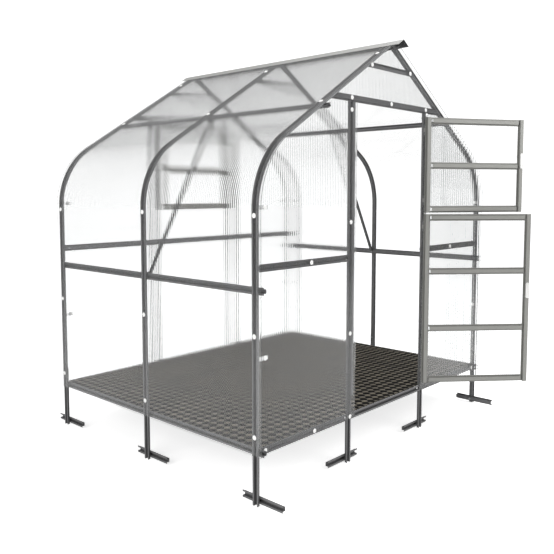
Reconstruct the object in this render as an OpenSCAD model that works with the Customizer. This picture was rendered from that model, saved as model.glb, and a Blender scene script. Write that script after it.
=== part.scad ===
// Walk-in greenhouse on ground anchors: three bent arches of hat-section steel, twin-wall
// polycarbonate sheets, a split door in the front gable and a vent in the rear gable.
// Origin: on the ground, under the middle of the whole object with its door leaves open.
// +X runs to the door's hinge side, -Y to the front gable, +Z up. All sizes are in millimetres.

/* [Overall] */
// Width over the side posts
width = 2600; // [2300:10:2900]
// Distance between neighbouring arches
pitch = 1000; // [900:10:1050]
// Arch to arch line of the front gable, from the origin
front_y = -750; // [-900:10:-600]
// Height at which the straight posts end and the bend begins
post_top = 1651; // [1500:1:1700]
// Outer radius of the bend
bend_r = 510; // [450:10:550]
// Angle through which each arch is bent
bend_angle = 58; // [56:1:60]

/* [Steel section] */
// Width of the hat section over its flanges
hat_w = 44; // [40:1:48]
// Width of the crown of the hat section
hat_c = 24; // [22:1:26]
// Depth of the hat section
hat_d = 20; // [18:1:22]
// Thickness of the rolled sheet steel
hat_t = 1.2; // [1:0.1:1.5]
// Width of the light brace section
brace_w = 30; // [26:1:34]

/* [Heights] */
// Centre of the base rails
base_z = 306; // [290:1:330]
// Centre of the side rails
side_rail_z = 1212; // [1150:1:1250]
// Centre of the gable rails
gable_rail_z = 1336; // [1290:1:1380]
// Centre of the gable headers
header_z = 2340; // [2330:1:2350]
// Underside of the collar ties
collar_z = 2556; // [2540:1:2570]
// Distance of each purlin from the ridge line
purlin_x = 722; // [700:1:740]

/* [Ground] */
// How far each ground leg reaches up inside its post
leg_lap = 150; // [100:10:200]
// Length of each ground anchor
anchor_l = 310; // [250:10:350]
// Height of the middle of the ground anchors
anchor_z = 34; // [30:1:40]
// How far the anchors are set off to one side of their legs
anchor_shift = 33; // [0:1:60]

/* [Sheets] */
// Thickness of the twin-wall sheets
sheet_t = 4; // [4:1:6]
// Length of the side sheets and of all rails that carry them
sheet_l = 2100; // [2080:10:2140]
// Length of the ridge cap
ridge_l = 2210; // [2160:10:2260]
// Width of each wing of the ridge cap
ridge_w = 72; // [60:1:80]

/* [Doorway] */
// Distance of each door post from the middle of the gable
door_post_x = 446; // [440:1:460]
// Width of the door leaves
leaf_w = 800; // [790:1:806]
// Lower edge of the lower leaf
lower_z = 353; // [345:1:360]
// Height of the lower leaf
lower_h = 1240; // [1230:1:1245]
// Heights of the middle rails of the lower leaf, from its lower edge
lower_rails = [405, 824];
// Lower edge of the upper leaf and of the vent
upper_z = 1604; // [1600:1:1606]
// Height of the upper leaf and of the vent
upper_h = 682; // [670:1:690]
// Height of the middle rail of the upper leaf, from its lower edge
upper_rails = [339];
// Width of the leaves' section over its flanges
leaf_hat_w = 48; // [44:1:50]
// Width of the crown of the leaves' section
leaf_hat_c = 26; // [24:1:28]
// Angle at which the lower leaf stands open
lower_open = 136.5; // [0:0.5:150]
// Angle at which the upper leaf stands open
upper_open = 147; // [0:0.5:150]

/* [Latches] */
// Length of a latch lever
lever_l = 114; // [105:1:120]
// Width of a latch lever
lever_w = 26; // [22:1:28]
// Height of the lower leaf's latch pivot
lower_latch_z = 1068; // [1000:1:1100]
// Height of the upper leaf's latch pivot
upper_latch_z = 2018; // [1990:1:2040]

/* [Hidden] */
$fn = 48;

steel = "#626264";
leaf_steel = "#8e8f89";
clear_sheet = [0.85, 0.88, 0.88, 0.45];
white = "#f2f2ee";
ridge_steel = "#a3a3a0";
fleece_black = "#141414";
strand_taupe = "#585245";
zinc_nut = "#9a9b97";
zinc_pin = "#b4b5b2";
latch_alloy = "#c9cac8";

half = width / 2;
arch_y = [front_y, front_y + pitch, front_y + 2 * pitch];
mid_y = arch_y[1];
slope = 90 - bend_angle;
bend_x = half - bend_r;
bend_end = [bend_x + bend_r * cos(bend_angle), post_top + bend_r * sin(bend_angle)];
ridge_z = bend_end[1] + bend_end[0] * tan(slope);
rafter_l = bend_end[0] / cos(slope);
// drop of a roof surface that lies d below the outer face of the rafters, measured plumb
function plumb(d) = d / cos(slope);
// outer face of the rafters at a distance x from the ridge line
function roof_z(x) = ridge_z - abs(x) * tan(slope);
// distance from the ridge line at which the roof surface d below the outer face has height z
function roof_x(z, d = 0) = (ridge_z - plumb(d) - z) / tan(slope);

gable_face = -hat_c / 2;
rail_h = hat_w / 2;
base_low = base_z - rail_h;
floor_z = base_z + hat_c / 2;
underlay_t = 2;
mesh_t = 6;
lip = 2;
gap = 3;
bracket_t = 2;
sheet_foot = base_low + 6;
post_head = header_z - rail_h - lip;

hinge_r = 5;
pin_r = 2.5;
pin_fit = 0.06;
hinge_h = 60;
hinge_plate_w = 30;
hinge_plate_t = 1.5;
leaf_gap = 3;
hinge_x = door_post_x - rail_h - leaf_gap;
hinge_y = gable_face - sheet_t - hinge_r - 0.2;
leaf_face = gable_face - hinge_y;
leaf_rail_h = leaf_hat_w / 2;
latch_x = -leaf_gap - leaf_w + leaf_rail_h;
spindle_r = 4;
spindle_fit = 0.06;

// ---------------------------------------------------------------- sections and helpers

// Hat section: open side on y = 0, crown at y = d
module hat(w = hat_w, c = hat_c, d = hat_d, t = hat_t) {
    polygon([
        [-w / 2, 0], [-c / 2 + t, 0], [-c / 2 + t, d - t], [c / 2 - t, d - t],
        [c / 2 - t, 0], [w / 2, 0], [w / 2, t], [c / 2, t],
        [c / 2, d], [-c / 2, d], [-c / 2, t], [-w / 2, t]
    ]);
}

// Upright bar, open towards -Y
module upright(l) {
    linear_extrude(l) hat();
}

// Bar along +X, open towards -Y
module bar_x(l) {
    rotate([0, 90, 0]) linear_extrude(l) hat();
}

// Bar along Y with its middle at y = 0, open towards +X
module bar_y(l) {
    translate([0, -l / 2, 0]) rotate([0, 0, 90]) bar_x(l);
}

module on_left() {
    mirror([1, 0, 0]) children();
}

module both_sides() {
    children();
    on_left() children();
}

// The front gable is drawn around its arch line, and the rear gable is its mirror image
module at_front() {
    translate([0, arch_y[0], 0]) children();
}

module at_rear() {
    translate([0, arch_y[2], 0]) mirror([0, 1, 0]) children();
}

module at_gables() {
    at_front() children();
    at_rear() children();
}

module at_arches() {
    for (y = arch_y) translate([0, y, 0]) children();
}

// ---------------------------------------------------------------- arches and ground legs

// The straight runs of a bent piece are a trace smaller than its bend, and end inside it
seam = 0.05;
tuck = 2;

// Straight run of an arch, open towards +X
module straight_run(l) {
    rotate([0, 0, 90]) linear_extrude(l) translate([0, seam])
        hat(hat_w - 2 * seam, hat_c - 2 * seam, hat_d - 2 * seam, hat_t - 2 * seam);
}

// Right half of an arch, from the base rail to the ridge, open outwards
module arch_half() {
    difference() {
        union() {
            translate([half, 0, base_low]) straight_run(post_top + tuck - base_low);
            translate([bend_x, 0, post_top]) rotate([90, 0, 0])
                rotate_extrude(angle = bend_angle, $fn = 96)
                    translate([bend_r, 0]) rotate(90) hat();
            translate([bend_end[0], 0, bend_end[1]]) rotate([0, -bend_angle, 0])
                translate([0, 0, -tuck]) straight_run(rafter_l + tuck);
        }
        translate([-100, -hat_w, ridge_z - 200]) cube([101, 2 * hat_w, 300]);
    }
}

module arch_at(i, left = false) {
    color(steel) translate([0, arch_y[i], 0]) mirror([left ? 1 : 0, 0, 0]) arch_half();
}

module arch_front_left() {
    arch_at(0, true);
}
module arch_front_right() {
    arch_at(0);
}
module arch_mid_left() {
    arch_at(1, true);
}
module arch_mid_right() {
    arch_at(1);
}
module arch_rear_left() {
    arch_at(2, true);
}
module arch_rear_right() {
    arch_at(2);
}

// Ground leg: a slightly wider hat that nests over the crown of its post
module leg() {
    linear_extrude(base_low + leg_lap) translate([0, hat_t]) hat(c = hat_c + 2 * hat_t);
}

module side_legs() {
    at_arches() both_sides() translate([half, 0, 0]) rotate([0, 0, 90]) leg();
}

module gable_legs() {
    at_gables() both_sides() translate([door_post_x, gable_face, 0]) leg();
}

module ground_legs() {
    color(steel) {
        side_legs();
        gable_legs();
    }
}

// Ground anchors lie across the inner side of each leg
module anchor_feet() {
    inner = hat_d + hat_t;
    color(steel) {
        at_arches() both_sides() translate([half - inner, -anchor_shift, anchor_z]) bar_y(anchor_l);
        at_gables() translate([-anchor_shift, 0, 0]) both_sides()
            translate([door_post_x - anchor_l / 2, gable_face + inner, anchor_z]) bar_x(anchor_l);
    }
}

// ---------------------------------------------------------------- long rails

module long_rail(x, z) {
    translate([x, mid_y, z]) bar_y(sheet_l);
}

module base_rail_right() {
    color(steel) long_rail(half - hat_d - hat_t, base_z);
}
module base_rail_left() {
    on_left() base_rail_right();
}
module side_rail_right() {
    color(steel) long_rail(half - hat_d, side_rail_z);
}
module side_rail_left() {
    on_left() side_rail_right();
}

// Purlins lie under the rafters, square to the slope
module purlin_right() {
    color(steel) translate([purlin_x, mid_y, roof_z(purlin_x) - plumb(hat_d)])
        rotate([0, -bend_angle, 0]) bar_y(sheet_l);
}
module purlin_left() {
    on_left() purlin_right();
}

// ---------------------------------------------------------------- gable steel

// Rail in the plane of the gable, between x0 and x1
module gable_bar(x0, x1, z) {
    translate([x0, gable_face, z]) bar_x(x1 - x0);
}

post_edge = door_post_x + rail_h + gap;
base_start = half - 2 * hat_d - hat_t - gap;
rail_start = half - hat_d - bracket_t - lip;

inside = door_post_x - rail_h - gap;

module base_rails() {
    both_sides() gable_bar(post_edge, base_start, base_z);
    gable_bar(-inside, inside, base_z);
}
module base_rails_front() {
    color(steel) at_front() base_rails();
}
module base_rails_rear() {
    color(steel) at_rear() base_rails();
}
module gable_rails_front() {
    color(steel) at_front() both_sides() gable_bar(post_edge, rail_start, gable_rail_z);
}
module gable_rails_rear() {
    color(steel) at_rear() {
        both_sides() gable_bar(post_edge, rail_start, gable_rail_z);
        gable_bar(-inside, inside, gable_rail_z);
    }
}

module posts() {
    both_sides() translate([door_post_x, gable_face, base_low]) upright(post_head - base_low);
}
module door_posts() {
    color(steel) at_front() posts();
}
module rear_posts() {
    color(steel) at_rear() posts();
}

// Everything under the inner faces of the rafters, used to mitre what meets them
module under_rafters(clear = 1) {
    depth = 2 * hat_w;
    reach = roof_x(post_top, hat_d);
    peak = ridge_z - plumb(hat_d) - clear;
    translate([0, depth / 2, 0]) rotate([90, 0, 0]) linear_extrude(depth)
        polygon([[-reach, post_top], [reach, post_top], [0, peak]]);
}

// Header with its crown outwards, mitred to the rafters
module header() {
    reach = roof_x(header_z - rail_h, hat_d);
    intersection() {
        translate([-reach, gable_face + hat_d, header_z]) mirror([0, 1, 0]) bar_x(2 * reach);
        under_rafters();
    }
}
module header_front() {
    color(steel) at_front() header();
}
module header_rear() {
    color(steel) at_rear() header();
}

// Collar tie: an angle with its flat leg on top
module collar() {
    reach = roof_x(collar_z, hat_d);
    intersection() {
        union() {
            translate([-reach, gable_face + 18, collar_z]) cube([2 * reach, 2, brace_w]);
            translate([-reach, gable_face, collar_z + brace_w - 2]) cube([2 * reach, 20, 2]);
        }
        under_rafters();
    }
}
module collar_ties() {
    color(steel) {
        at_gables() collar();
        translate([0, mid_y, 0]) collar();
    }
}

// Strip on the latch side of the doorway that closes the gap beside the leaves
module jamb_strip() {
    strip_w = 29;
    foot = base_low + leg_lap + 3;
    color(steel) at_front() translate([-door_post_x + hat_c / 2 + 1, gable_face + hat_t, foot])
        cube([strip_w, 1.5, post_head - foot - 2]);
}

// Chord strut of the middle arch, from the side rail to the purlin
strut_foot = [half - 2 * hat_d - 12, side_rail_z + 10];
strut_head = [purlin_x - 36, roof_z(purlin_x) - plumb(2 * hat_d) + 22];
strut_plate_t = 2;
module strut_right() {
    run = strut_foot[0] - strut_head[0];
    rise = strut_head[1] - strut_foot[1];
    lean = atan2(run, rise);
    len = sqrt(run * run + rise * rise);
    color(steel) translate([0, mid_y, 0]) {
        translate([strut_foot[0], 0, strut_foot[1]]) rotate([0, -lean, 0]) rotate([0, 0, 90])
            linear_extrude(len) translate([0, -6]) hat(w = brace_w, c = 16, d = 12);
        translate([half - 2 * hat_d - strut_plate_t, -15, side_rail_z - 20])
            cube([strut_plate_t, 30, 44]);
        translate([half - 2 * hat_d - 18, -15, side_rail_z + 8]) cube([17, 30, strut_plate_t]);
        translate([purlin_x, 0, roof_z(purlin_x) - plumb(2 * hat_d)]) rotate([0, -bend_angle, 0])
            translate([-strut_plate_t, -15, -18]) cube([strut_plate_t, 30, 72]);
    }
}
module strut_left() {
    on_left() strut_right();
}

// ---------------------------------------------------------------- ridge

ridge_t = 1.5;

// Folded strip over the ridge, d above the outer face of the rafters
module ridge_section(d, t, w) {
    low = plumb(d);
    drop = w * sin(slope);
    polygon([
        [0, low], [w * cos(slope), low - drop], [w * cos(slope), low - drop + plumb(t)],
        [0, low + plumb(t)], [-w * cos(slope), low - drop + plumb(t)], [-w * cos(slope), low - drop]
    ]);
}

module ridge_run(d, t, w, l) {
    translate([0, l / 2, ridge_z]) rotate([90, 0, 0]) linear_extrude(l) ridge_section(d, t, w);
}

module ridge_cap() {
    color(ridge_steel) translate([0, mid_y, 0]) ridge_run(sheet_t + 0.5, ridge_t, ridge_w, ridge_l);
}

// Bent plates that join the two halves of each arch under the ridge
module ridge_brackets() {
    color(steel) at_arches() ridge_run(-hat_d - 3.2, 3, 90, hat_c);
}

// ---------------------------------------------------------------- brackets and clips

// Flat plate behind a gable rail and the crown of the post beside it
module post_plate(z) {
    translate([door_post_x - 10, gable_face + hat_d, z - 10]) cube([80, bracket_t, 20]);
}
module sill_plate(z) {
    translate([door_post_x - 70, gable_face + hat_d, z - 10]) cube([68, bracket_t, 20]);
}
// Angle between a gable rail and the crown of the corner post
module corner_angle(z) {
    translate([half - hat_d - bracket_t, gable_face + 2, z - 10]) cube([bracket_t, hat_d, 20]);
    translate([half - hat_d - 50, gable_face + hat_d, z - 10]) cube([50, bracket_t, 20]);
}
// Plate behind the header that carries the head of a door post
module head_plate() {
    translate([door_post_x - 10, gable_face + hat_d, post_head - 50]) cube([20, bracket_t, 90]);
}
module rail_brackets() {
    color(steel) {
        at_gables() both_sides() {
            post_plate(gable_rail_z);
            corner_angle(gable_rail_z);
            head_plate();
        }
        at_rear() both_sides() sill_plate(gable_rail_z);
    }
}

// Clips on the corner arches, behind the edges of the gable sheets
clip_heights = [834, 1668];
clip_l = 70;
clip_t = 1.5;
module gable_clips() {
    edge = half - hat_d - 1;
    color(clear_sheet) at_gables() both_sides() for (z = clip_heights) {
        translate([edge - clip_l, gable_face, z - 12]) cube([clip_l, clip_t, 24]);
        translate([edge - clip_t, gable_face, z - 12]) cube([clip_t, hat_c, 24]);
    }
}

// ---------------------------------------------------------------- sheets

// Side and roof sheet: one sheet bent over the arches
module side_sheet_right() {
    slab = sheet_t - 2 * seam;
    run = sheet_l - 2 * seam;
    color(clear_sheet) translate([0, mid_y, 0]) difference() {
        union() {
            translate([half + seam, -run / 2, sheet_foot])
                cube([slab, run, post_top + tuck - sheet_foot]);
            translate([bend_x, sheet_l / 2, post_top]) rotate([90, 0, 0])
                rotate_extrude(angle = bend_angle, $fn = 96)
                    translate([bend_r, 0]) square([sheet_t, sheet_l]);
            translate([bend_end[0], 0, bend_end[1]]) rotate([0, -bend_angle, 0])
                translate([seam, -run / 2, -tuck]) cube([slab, run, rafter_l + tuck]);
        }
        translate([-100, -sheet_l, ridge_z - 200]) cube([103, 2 * sheet_l, 300]);
    }
}
module side_sheet_left() {
    on_left() side_sheet_right();
}

// Outline of a gable, inside the flanges of its arch
edge_in = 3;
function bend_points(n = 24) = [
    for (i = [0 : n])
        let (a = bend_angle * i / n, r = bend_r - edge_in)
            [bend_x + r * cos(a), post_top + r * sin(a)]
];
module half_gable() {
    points = concat([[0, sheet_foot], [half - edge_in, sheet_foot]], bend_points(),
        [[0, ridge_z - plumb(edge_in)]]);
    polygon(points);
}

// Cut-outs in the sheet's edge for the ends of the long rails and for the corner leg
module rail_notches() {
    play = 2;
    depth = 2 * hat_d + hat_t + play;
    leg_depth = hat_d + 2 * hat_t + 1;
    translate([half - depth, side_rail_z - rail_h - play]) square([depth, hat_w + 2 * play]);
    translate([half - depth, sheet_foot - 1]) square([depth, hat_w + play - 5]);
    translate([half - leg_depth, sheet_foot - 1])
        square([leg_depth, base_low + leg_lap + play - sheet_foot]);
    translate([purlin_x, roof_z(purlin_x)]) rotate(-slope)
        translate([hat_d * tan(slope) - rail_h - play, -2 * hat_d - play])
            square([hat_w + 2 * play, 2 * hat_d + play]);
}

module gable_sheet(x0, x1, z0, z1) {
    translate([0, gable_face, 0]) rotate([90, 0, 0]) linear_extrude(sheet_t)
        intersection() {
            difference() {
                half_gable();
                rail_notches();
            }
            translate([x0, z0]) square([x1 - x0, z1 - z0]);
        }
}

bay_top = header_z - rail_h - 1;
sheet_joint = bay_top + 1.5;
sheet_lap = 36;
hinge_edge = door_post_x - rail_h + 1;
free_edge = door_post_x - rail_h - sheet_lap;
module bay_sheet(x0) {
    color(clear_sheet) gable_sheet(x0, half, sheet_foot, bay_top);
}
module top_sheet() {
    color(clear_sheet) union() {
        gable_sheet(0, half, sheet_joint, ridge_z);
        on_left() gable_sheet(0, half, sheet_joint, ridge_z);
    }
}
module front_sheet_right() {
    at_front() bay_sheet(hinge_edge);
}
module front_sheet_left() {
    at_front() on_left() bay_sheet(free_edge);
}
module front_sheet_top() {
    at_front() top_sheet();
}
module rear_sheet_right() {
    at_rear() bay_sheet(hinge_edge);
}
module rear_sheet_left() {
    at_rear() on_left() bay_sheet(free_edge);
}
// The rear top sheet hangs down to the vent
module rear_sheet_top() {
    low = upper_z + upper_h + 5;
    at_rear() union() {
        top_sheet();
        color(clear_sheet) translate([1 - free_edge, gable_face - sheet_t, low])
            cube([free_edge + hinge_edge - 3, sheet_t, sheet_joint + 5 - low]);
    }
}
// Fixed panel under the vent
module rear_sheet_centre() {
    color(clear_sheet) at_rear() translate([1 - free_edge, gable_face - sheet_t, sheet_foot])
        cube([free_edge + hinge_edge - 3, sheet_t, upper_z - 6 - sheet_foot]);
}

// ---------------------------------------------------------------- floor

module floor_plate(z, t) {
    edge_x = half - hat_d - 2 * hat_t - 2;
    edge_y = pitch + gable_face + hat_t + 2;
    translate([-edge_x, mid_y - edge_y, z]) cube([2 * edge_x, 2 * edge_y, t]);
}

// Notches where the legs reach up inside the posts
module floor_notches() {
    depth = hat_d + 3 * hat_t + 4;
    at_arches() both_sides() translate([half - depth, -rail_h, floor_z - 1]) cube([depth, hat_w, 20]);
    at_gables() both_sides()
        translate([door_post_x - rail_h, gable_face - 1, floor_z - 1]) cube([hat_w, depth, 20]);
}

module floor_underlay() {
    color(fleece_black) difference() {
        floor_plate(floor_z, underlay_t);
        floor_notches();
    }
}
module floor_mesh() {
    color(strand_taupe) difference() {
        floor_plate(floor_z + underlay_t, mesh_t);
        floor_notches();
    }
}

// ---------------------------------------------------------------- screws and bolts

// Roofing screw seated on a sheet: a broad sealing washer, its dome and a hexagon head, along +Z
module roof_screw() {
    cylinder(r = 12, h = 1.5);
    translate([0, 0, 1.5]) cylinder(r = 8, h = 1.5);
    translate([0, 0, 3]) cylinder(r = 5, h = 3, $fn = 6);
}

screw_post_z = [395, 962, 1625];
roof_screw_x = [purlin_x + 12, 150];
corner_screw = half - 66;
gable_screws = [[corner_screw, base_z], [corner_screw, clip_heights[0]],
    [corner_screw, clip_heights[1]], [800, base_z], [835, gable_rail_z]];
gable_top_screws = [[445, header_z], [0, header_z], [-445, header_z], [230, collar_z + 14],
    [-230, collar_z + 14]];
post_screws = [850, 1563, 2265];

module side_screws() {
    for (z = screw_post_z)
        translate([half + sheet_t, 0, z]) rotate([0, 90, 0]) roof_screw();
    for (x = roof_screw_x)
        translate([x, 0, roof_z(x)]) rotate([0, slope, 0]) translate([0, 0, sheet_t]) roof_screw();
}

module out_of_gable(x, z) {
    translate([x, gable_face - sheet_t, z]) rotate([90, 0, 0]) roof_screw();
}

module sheet_screws() {
    color(white) {
        at_arches() both_sides() side_screws();
        at_gables() {
            both_sides() for (p = gable_screws) out_of_gable(p[0], p[1]);
            for (p = gable_top_screws) out_of_gable(p[0], p[1]);
            for (z = post_screws) out_of_gable(-door_post_x, z);
        }
        at_front() out_of_gable(-door_post_x + 6, base_z);
        at_gables() for (z = post_screws) out_of_gable(door_post_x + 12, z + 40);
    }
}

// Carriage-bolt nut on the inner side of the steel, along +Z
module nut() {
    cylinder(r = 6.5, h = 5, $fn = 6);
    translate([0, 0, 5]) cylinder(r = 3, h = 4);
}

module inward_from_side(x, z) {
    translate([x, 0, z]) rotate([0, -90, 0]) nut();
}
module inward_from_gable(x, y, z) {
    translate([x, y, z]) rotate([-90, 0, 0]) nut();
}

module frame_bolts() {
    leg_face = hat_d + hat_t;
    rail_face = gable_face + hat_d + bracket_t;
    anchor_face = gable_face + leg_face + hat_d;
    color(zinc_nut) {
        at_arches() both_sides() {
            inward_from_side(half - leg_face - hat_d, anchor_z);
            inward_from_side(half - leg_face - hat_d, base_z);
            inward_from_side(half - leg_face, base_low + leg_lap - 30);
        }
        at_gables() both_sides() inward_from_side(half - 2 * hat_d, side_rail_z);
        translate([0, mid_y, 0]) both_sides()
            inward_from_side(half - 2 * hat_d - strut_plate_t, side_rail_z - 8);
        at_gables() both_sides() {
            inward_from_gable(door_post_x, anchor_face, anchor_z);
            inward_from_gable(door_post_x, gable_face + leg_face, base_low + leg_lap - 30);
            inward_from_gable(door_post_x, rail_face, gable_rail_z);
            inward_from_gable(door_post_x + 52, rail_face, gable_rail_z);
            inward_from_gable(half - hat_d - 36, rail_face, gable_rail_z);
            inward_from_gable(door_post_x, rail_face, post_head - 30);
            inward_from_gable(door_post_x, rail_face, header_z);
        }
    }
}

// ---------------------------------------------------------------- hinges

// The hinge axis is the line x = y = 0, the leaf lies towards -X when closed
knuckle_end = 17;
hinge_play = 0.4;

module hinge_plate(from_z, h, bore) {
    reach = hinge_r + 0.8;
    y0 = leaf_face - sheet_t - hinge_plate_t;
    difference() {
        union() {
            translate([0, 0, from_z]) cylinder(r = hinge_r, h = h);
            translate([0, y0, from_z]) cube([reach + 1, hinge_plate_t, h]);
        }
        translate([0, 0, from_z - 1]) cylinder(r = bore, h = h + 2);
    }
}

module plate_blade() {
    reach = hinge_r + 0.8;
    y0 = leaf_face - sheet_t - hinge_plate_t;
    translate([reach, y0, 0]) cube([hinge_plate_w - reach, hinge_plate_t, hinge_h]);
}

// Half of a hinge that stays on the post: two end knuckles
module fixed_half() {
    union() {
        plate_blade();
        hinge_plate(0, knuckle_end, pin_r);
        hinge_plate(hinge_h - knuckle_end, knuckle_end, pin_r);
    }
}

// Half of a hinge that turns with the leaf: the middle knuckle
module moving_half() {
    mirror([1, 0, 0]) union() {
        plate_blade();
        hinge_plate(knuckle_end + hinge_play, hinge_h - 2 * (knuckle_end + hinge_play), pin_r + pin_fit);
    }
}

module hinge_pin() {
    head = 1.5;
    cylinder(r = pin_r, h = hinge_h);
    translate([0, 0, hinge_h]) cylinder(r = pin_r + 1, h = head);
    translate([0, 0, -head]) cylinder(r = pin_r + 1, h = head);
}

module at_hinge_axis(angle = 0) {
    translate([hinge_x, hinge_y, 0]) rotate([0, 0, angle]) children();
}

hinge_inset = 60;
function hinge_heights(z, h) = [z + hinge_inset, z + h - hinge_inset - hinge_h];
lower_hinge_z = hinge_heights(lower_z, lower_h);
upper_hinge_z = hinge_heights(upper_z, upper_h);

module each_at(heights) {
    for (z = heights) translate([0, 0, z]) children();
}

module hinge_plates() {
    color(steel) {
        at_front() at_hinge_axis() each_at(concat(lower_hinge_z, upper_hinge_z)) fixed_half();
        at_rear() at_hinge_axis() each_at(upper_hinge_z) fixed_half();
    }
}
module hinge_pins() {
    color(zinc_pin) {
        at_front() at_hinge_axis() each_at(concat(lower_hinge_z, upper_hinge_z)) hinge_pin();
        at_rear() at_hinge_axis() each_at(upper_hinge_z) hinge_pin();
    }
}

// ---------------------------------------------------------------- leaves

module leaf_profile(l) {
    linear_extrude(l) hat(leaf_hat_w, leaf_hat_c);
}

// Uprights of a leaf; the free one has a hole for the latch spindle
module leaf_stiles(z, h, latch_z) {
    color(leaf_steel) {
        translate([-leaf_gap - leaf_rail_h, leaf_face, z]) leaf_profile(h);
        difference() {
            translate([latch_x, leaf_face, z]) leaf_profile(h);
            translate([latch_x, leaf_face, latch_z]) rotate([-90, 0, 0])
                cylinder(r = spindle_r + spindle_fit, h = hat_d + 5);
        }
    }
}

// Cross bars of a leaf, with the crown cut back at both ends so that the flanges meet the stiles
module leaf_bar(z) {
    x0 = latch_x + leaf_rail_h;
    l = leaf_w - 2 * leaf_hat_w;
    notch = 5;
    difference() {
        translate([x0, leaf_face, z]) rotate([0, 90, 0]) leaf_profile(l);
        for (x = [x0 - 1, x0 + l - notch])
            translate([x, leaf_face + hat_t, z - leaf_hat_w]) cube([notch + 1, hat_d, 2 * leaf_hat_w]);
    }
}

module leaf_rails(z, h, middles) {
    color(leaf_steel) for (m = concat([leaf_rail_h], middles, [h - leaf_rail_h])) leaf_bar(z + m);
}

module leaf_sheet(z, h, latch_z) {
    color(clear_sheet) difference() {
        translate([-leaf_gap - leaf_w, leaf_face - sheet_t, z]) cube([leaf_w, sheet_t, h]);
        translate([latch_x, leaf_face - sheet_t - 1, latch_z]) rotate([-90, 0, 0])
            cylinder(r = spindle_r + 0.5, h = sheet_t + 2);
    }
}

module leaf_hinges(heights) {
    color(leaf_steel) each_at(heights) moving_half();
}

// Latch: a lever inside, a spindle through the stile and a round knob outside
module latch(z) {
    thick = 11;
    inside = leaf_face + hat_d + 1;
    outside = leaf_face - sheet_t - 1;
    tail = lever_w / 2 + 9;
    color(latch_alloy) translate([latch_x, 0, z]) {
        translate([0, inside + thick, 0]) rotate([90, 0, 0]) linear_extrude(thick) union() {
            translate([0, tail - lever_w / 2]) circle(r = lever_w / 2);
            translate([0, tail - lever_l + lever_w / 2]) circle(r = lever_w / 2);
            translate([-lever_w / 2, tail - lever_l + lever_w / 2])
                square([lever_w, lever_l - lever_w]);
        }
        translate([0, outside - 2, 0]) rotate([-90, 0, 0])
            cylinder(r = spindle_r, h = inside - outside + 5);
        translate([0, outside - 16, 0]) rotate([-90, 0, 0]) cylinder(r = 14, h = 16);
    }
}

module lower_leaf() {
    at_front() at_hinge_axis(lower_open) children();
}
module upper_leaf() {
    at_front() at_hinge_axis(upper_open) children();
}
module vent_leaf() {
    at_rear() at_hinge_axis() children();
}

module lower_stiles() {
    lower_leaf() leaf_stiles(lower_z, lower_h, lower_latch_z);
}
module lower_rails_set() {
    lower_leaf() leaf_rails(lower_z, lower_h, lower_rails);
}
module lower_sheet() {
    lower_leaf() leaf_sheet(lower_z, lower_h, lower_latch_z);
}
module lower_hinges() {
    lower_leaf() leaf_hinges(lower_hinge_z);
}
module lower_latch() {
    lower_leaf() latch(lower_latch_z);
}
module upper_stiles() {
    upper_leaf() leaf_stiles(upper_z, upper_h, upper_latch_z);
}
module upper_rails_set() {
    upper_leaf() leaf_rails(upper_z, upper_h, upper_rails);
}
module upper_sheet() {
    upper_leaf() leaf_sheet(upper_z, upper_h, upper_latch_z);
}
module upper_hinges() {
    upper_leaf() leaf_hinges(upper_hinge_z);
}
module upper_latch() {
    upper_leaf() latch(upper_latch_z);
}
module vent_stiles() {
    vent_leaf() leaf_stiles(upper_z, upper_h, upper_latch_z);
}
module vent_rails() {
    vent_leaf() leaf_rails(upper_z, upper_h, upper_rails);
}
module vent_sheet() {
    vent_leaf() leaf_sheet(upper_z, upper_h, upper_latch_z);
}
module vent_hinges() {
    vent_leaf() leaf_hinges(upper_hinge_z);
}
module vent_latch() {
    vent_leaf() latch(upper_latch_z);
}

arch_front_left();
arch_front_right();
arch_mid_left();
arch_mid_right();
arch_rear_left();
arch_rear_right();
ground_legs();
anchor_feet();
base_rail_left();
base_rail_right();
base_rails_front();
base_rails_rear();
side_rail_left();
side_rail_right();
purlin_left();
purlin_right();
gable_rails_front();
gable_rails_rear();
ridge_cap();
ridge_brackets();
collar_ties();
header_front();
header_rear();
door_posts();
rear_posts();
jamb_strip();
strut_left();
strut_right();
rail_brackets();
gable_clips();
side_sheet_left();
side_sheet_right();
front_sheet_left();
front_sheet_right();
front_sheet_top();
rear_sheet_left();
rear_sheet_right();
rear_sheet_top();
rear_sheet_centre();
floor_underlay();
floor_mesh();
sheet_screws();
frame_bolts();
hinge_plates();
hinge_pins();
lower_stiles();
lower_rails_set();
lower_sheet();
lower_hinges();
lower_latch();
upper_stiles();
upper_rails_set();
upper_sheet();
upper_hinges();
upper_latch();
vent_stiles();
vent_rails();
vent_sheet();
vent_hinges();
vent_latch();
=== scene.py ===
import math

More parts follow.
